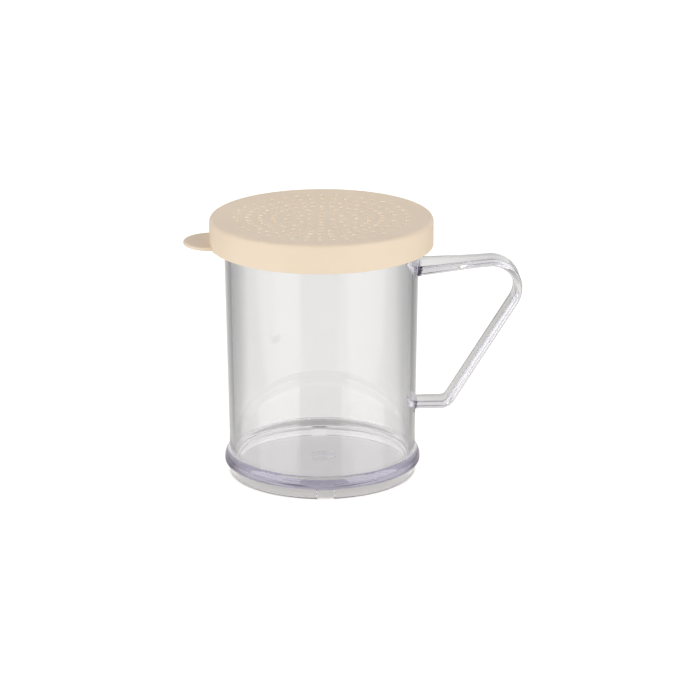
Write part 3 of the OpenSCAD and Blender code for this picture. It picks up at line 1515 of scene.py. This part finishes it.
    def body(self, skin: Skin) -> None:
        """Makes the plate, the edge, the skirt, the snap bead and the seal ring.

        Args:
            skin: The skin that takes them.
        """
        top, under = self.perforate(skin)
        e, f, low, steps = self.edge_r, self.foot_edge_r, self.low_z, self.foot_edge_steps
        bore, snap, lead = self.radius - self.skirt_t, self.snap_top, self.lead_in
        seal_low, inner = self.rim_z - self.seal_depth, self.seal_bore
        outline = [
            *[(r, self.top_at(r)) for r in self.brim_rows],
            *corner(self.radius - e, self.top_z - e, e, e, 90, 0, self.edge_steps),
            (self.radius, low + self.skirt_row),
            *corner(self.radius - f, low + f, f, f, 0, -90, steps),
            *corner(bore + f, low + f, f, f, 270, 180, steps),
            (bore, snap - self.snap_h - lead),
            (self.snap_r, snap - self.snap_h + lead),
            (self.snap_r, snap - lead),
            (bore, snap),
            (bore, self.rim_z),
            (self.seal_r, self.rim_z),
            (self.seal_r, seal_low + lead),
            (self.seal_r - lead, seal_low),
            (inner, seal_low),
            (inner, self.under_at(inner)),
        ]
        rings = revolve(skin, outline, self.segments)
        self.seam(skin, top, rings[0])
        self.seam(skin, under, rings[-1])

    def build(self) -> Piece:
        """Makes the whole lid as one closed body.

        Returns:
            The lid.
        """
        skin = Skin()
        self.body(skin)
        piece = skin.mesh_object("shaker_lid")
        tool = self.tab.tool(self.radius, self.skirt_t, self.low_z)
        combine(piece, tool, Join.GROW)
        turn = math.radians(self.turn_deg)
        for vertex in piece.data.vertices:
            x, y, _ = vertex.co
            vertex.co.x = x * math.cos(turn) - y * math.sin(turn)
            vertex.co.y = x * math.sin(turn) + y * math.cos(turn)
        settle_normals(piece)
        return piece

    def dress(self, piece: Piece, finish: SatinPolyethylene) -> None:
        """Gives the lid its finish and ties it to the lid's body.

        The walls of the holes get a painted glow, a lit copy of the finish that stands in for
        light coming through the thin plate.

        Args:
            piece: The lid.
            finish: Its finish.
        """
        # Painted light: a glowing copy of the finish for the faces in the holes.
        walls = replace(finish, name=f"{finish.name}_painted_glow_in_holes", painted_glow_power=self.painted_glow_power)
        piece.data.materials.clear()
        piece.data.materials.append(finish.material())
        piece.data.materials.append(walls.material())
        low, high = self.painted_glow_depth
        for face in piece.data.polygons:
            x, y, z = face.center / MM
            r = math.hypot(x, y)
            if r < self.seal_bore:
                face.material_index = int(low < self.top_at(r) - z < high)
        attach(piece, "lid")
        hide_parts("lid")


# ---------------------------------------------------------------------------
# Studio
# ---------------------------------------------------------------------------


@dataclass(frozen=True)
class Tent:
    """Light tent with two tall soft boxes in front of the cup and a gap between them.

    Bearings are in degrees, from straight behind the cup round to either side. Heights
    are the upward parts of directions.
    """

    boxes: Stops = ((0, 0.0), (84, 0.0), (87, 1.0), (150.5, 1.0), (153.5, 0.0), (180, 0.0))
    box_power: float = 2.45
    box_low: float = 0.08
    box_high: float = 0.80
    box_edge: float = 0.05
    glow: Stops = (
        (0, 0.80),
        (10, 0.80),
        (20, 0.90),
        (45, 0.80),
        (62, 0.20),
        (98, 0.15),
        (180, 0.15),
    )
    glow_top: Point = (0.70, 0.85)
    roof: float = 0.30
    colour: Colour = (1.0, 0.998, 0.995, 1.0)

    def pitch(self) -> None:
        """Makes the tent the light of the whole room."""
        world = bpy.data.worlds.new("tent")
        bpy.context.scene.world = world
        world.use_nodes = True
        bench = Bench(world.node_tree)
        place = bench.node("ShaderNodeTexCoord").outputs["Generated"]
        parts = bench.node("ShaderNodeSeparateXYZ", Vector=place)
        up = parts.outputs["Z"]
        bearing = bench.size(bench.bearing(parts.outputs["X"], parts.outputs["Y"]))
        low, high, edge = self.box_low, self.box_high, self.box_edge
        tall = bench.times(
            bench.ramp(up, (low - edge, low + edge), (0.0, self.box_power)),
            bench.ramp(up, (high - edge, high + edge), (1.0, 0.0)),
        )
        boxes = bench.times(bench.steps(bearing, self.boxes), tall)
        fade = bench.ramp(up, self.glow_top, (1.0, self.roof))
        glow = bench.times(bench.steps(bearing, self.glow), fade)
        bench.feed(
            world.node_tree.nodes["Background"],
            Strength=bench.sum_up("ADD", boxes, glow),
            Color=self.colour,
        )


@dataclass
class Studio:
    """Camera, white paper and the tent's light."""

    camera_place: Place = (-0.0361, -1.0337, 0.3708)
    camera_tilt: Place = (72.73, 0.0, -2.366)
    camera_roll: float = -0.1375
    lens: float = 157.4
    clip: Point = (0.05, 20.0)
    paper_reach: float = 4.0
    bounces: int = 40
    tent: Tent = field(default_factory=Tent)

    def set_camera(self) -> None:
        """Makes the camera."""
        data = bpy.data.cameras.new("camera")
        data.lens, data.sensor_width = self.lens, SENSOR
        data.clip_start, data.clip_end = self.clip
        holder = bpy.data.objects.new("camera", data)
        holder.location = self.camera_place
        holder.rotation_euler = [math.radians(a) for a in self.camera_tilt]
        holder.rotation_euler.rotate_axis("Z", math.radians(self.camera_roll))
        bpy.context.scene.collection.objects.link(holder)
        bpy.context.scene.camera = holder

    def lay_paper(self) -> None:
        """Lays the white paper that the cup stands on."""
        mesh = bpy.data.meshes.new("paper")
        r = self.paper_reach
        corners = [(-r, -r, 0), (r, -r, 0), (r, r, 0), (-r, r, 0)]
        mesh.from_pydata(corners, [], [(0, 1, 2, 3)])
        mesh.materials.append(SweepPaper().material())
        paper = bpy.data.objects.new("paper", mesh)
        bpy.context.scene.collection.objects.link(paper)

    def set_up(self) -> None:
        """Sets up the whole studio."""
        self.set_camera()
        self.lay_paper()
        self.tent.pitch()
        bpy.context.scene.view_settings.view_transform = "Standard"
        paths = bpy.context.scene.cycles
        paths.max_bounces = self.bounces
        paths.transmission_bounces = self.bounces
        paths.glossy_bounces = self.bounces


def main() -> None:
    """Builds the studio, the cup and the lid."""
    logging.basicConfig(level=logging.INFO, format="%(name)s: %(message)s")
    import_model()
    Studio().set_up()
    cup = CupMoulding()
    cup_piece = cup.build()
    cup.dress(cup_piece, ClearPolycarbonate())
    LOG.info("cup: %d faces", len(cup_piece.data.polygons))
    lid = SprinkleLid()
    lid_piece = lid.build()
    lid.dress(lid_piece, SatinPolyethylene())
    LOG.info("lid: %d faces", len(lid_piece.data.polygons))


if __name__ == "__main__":
    main()
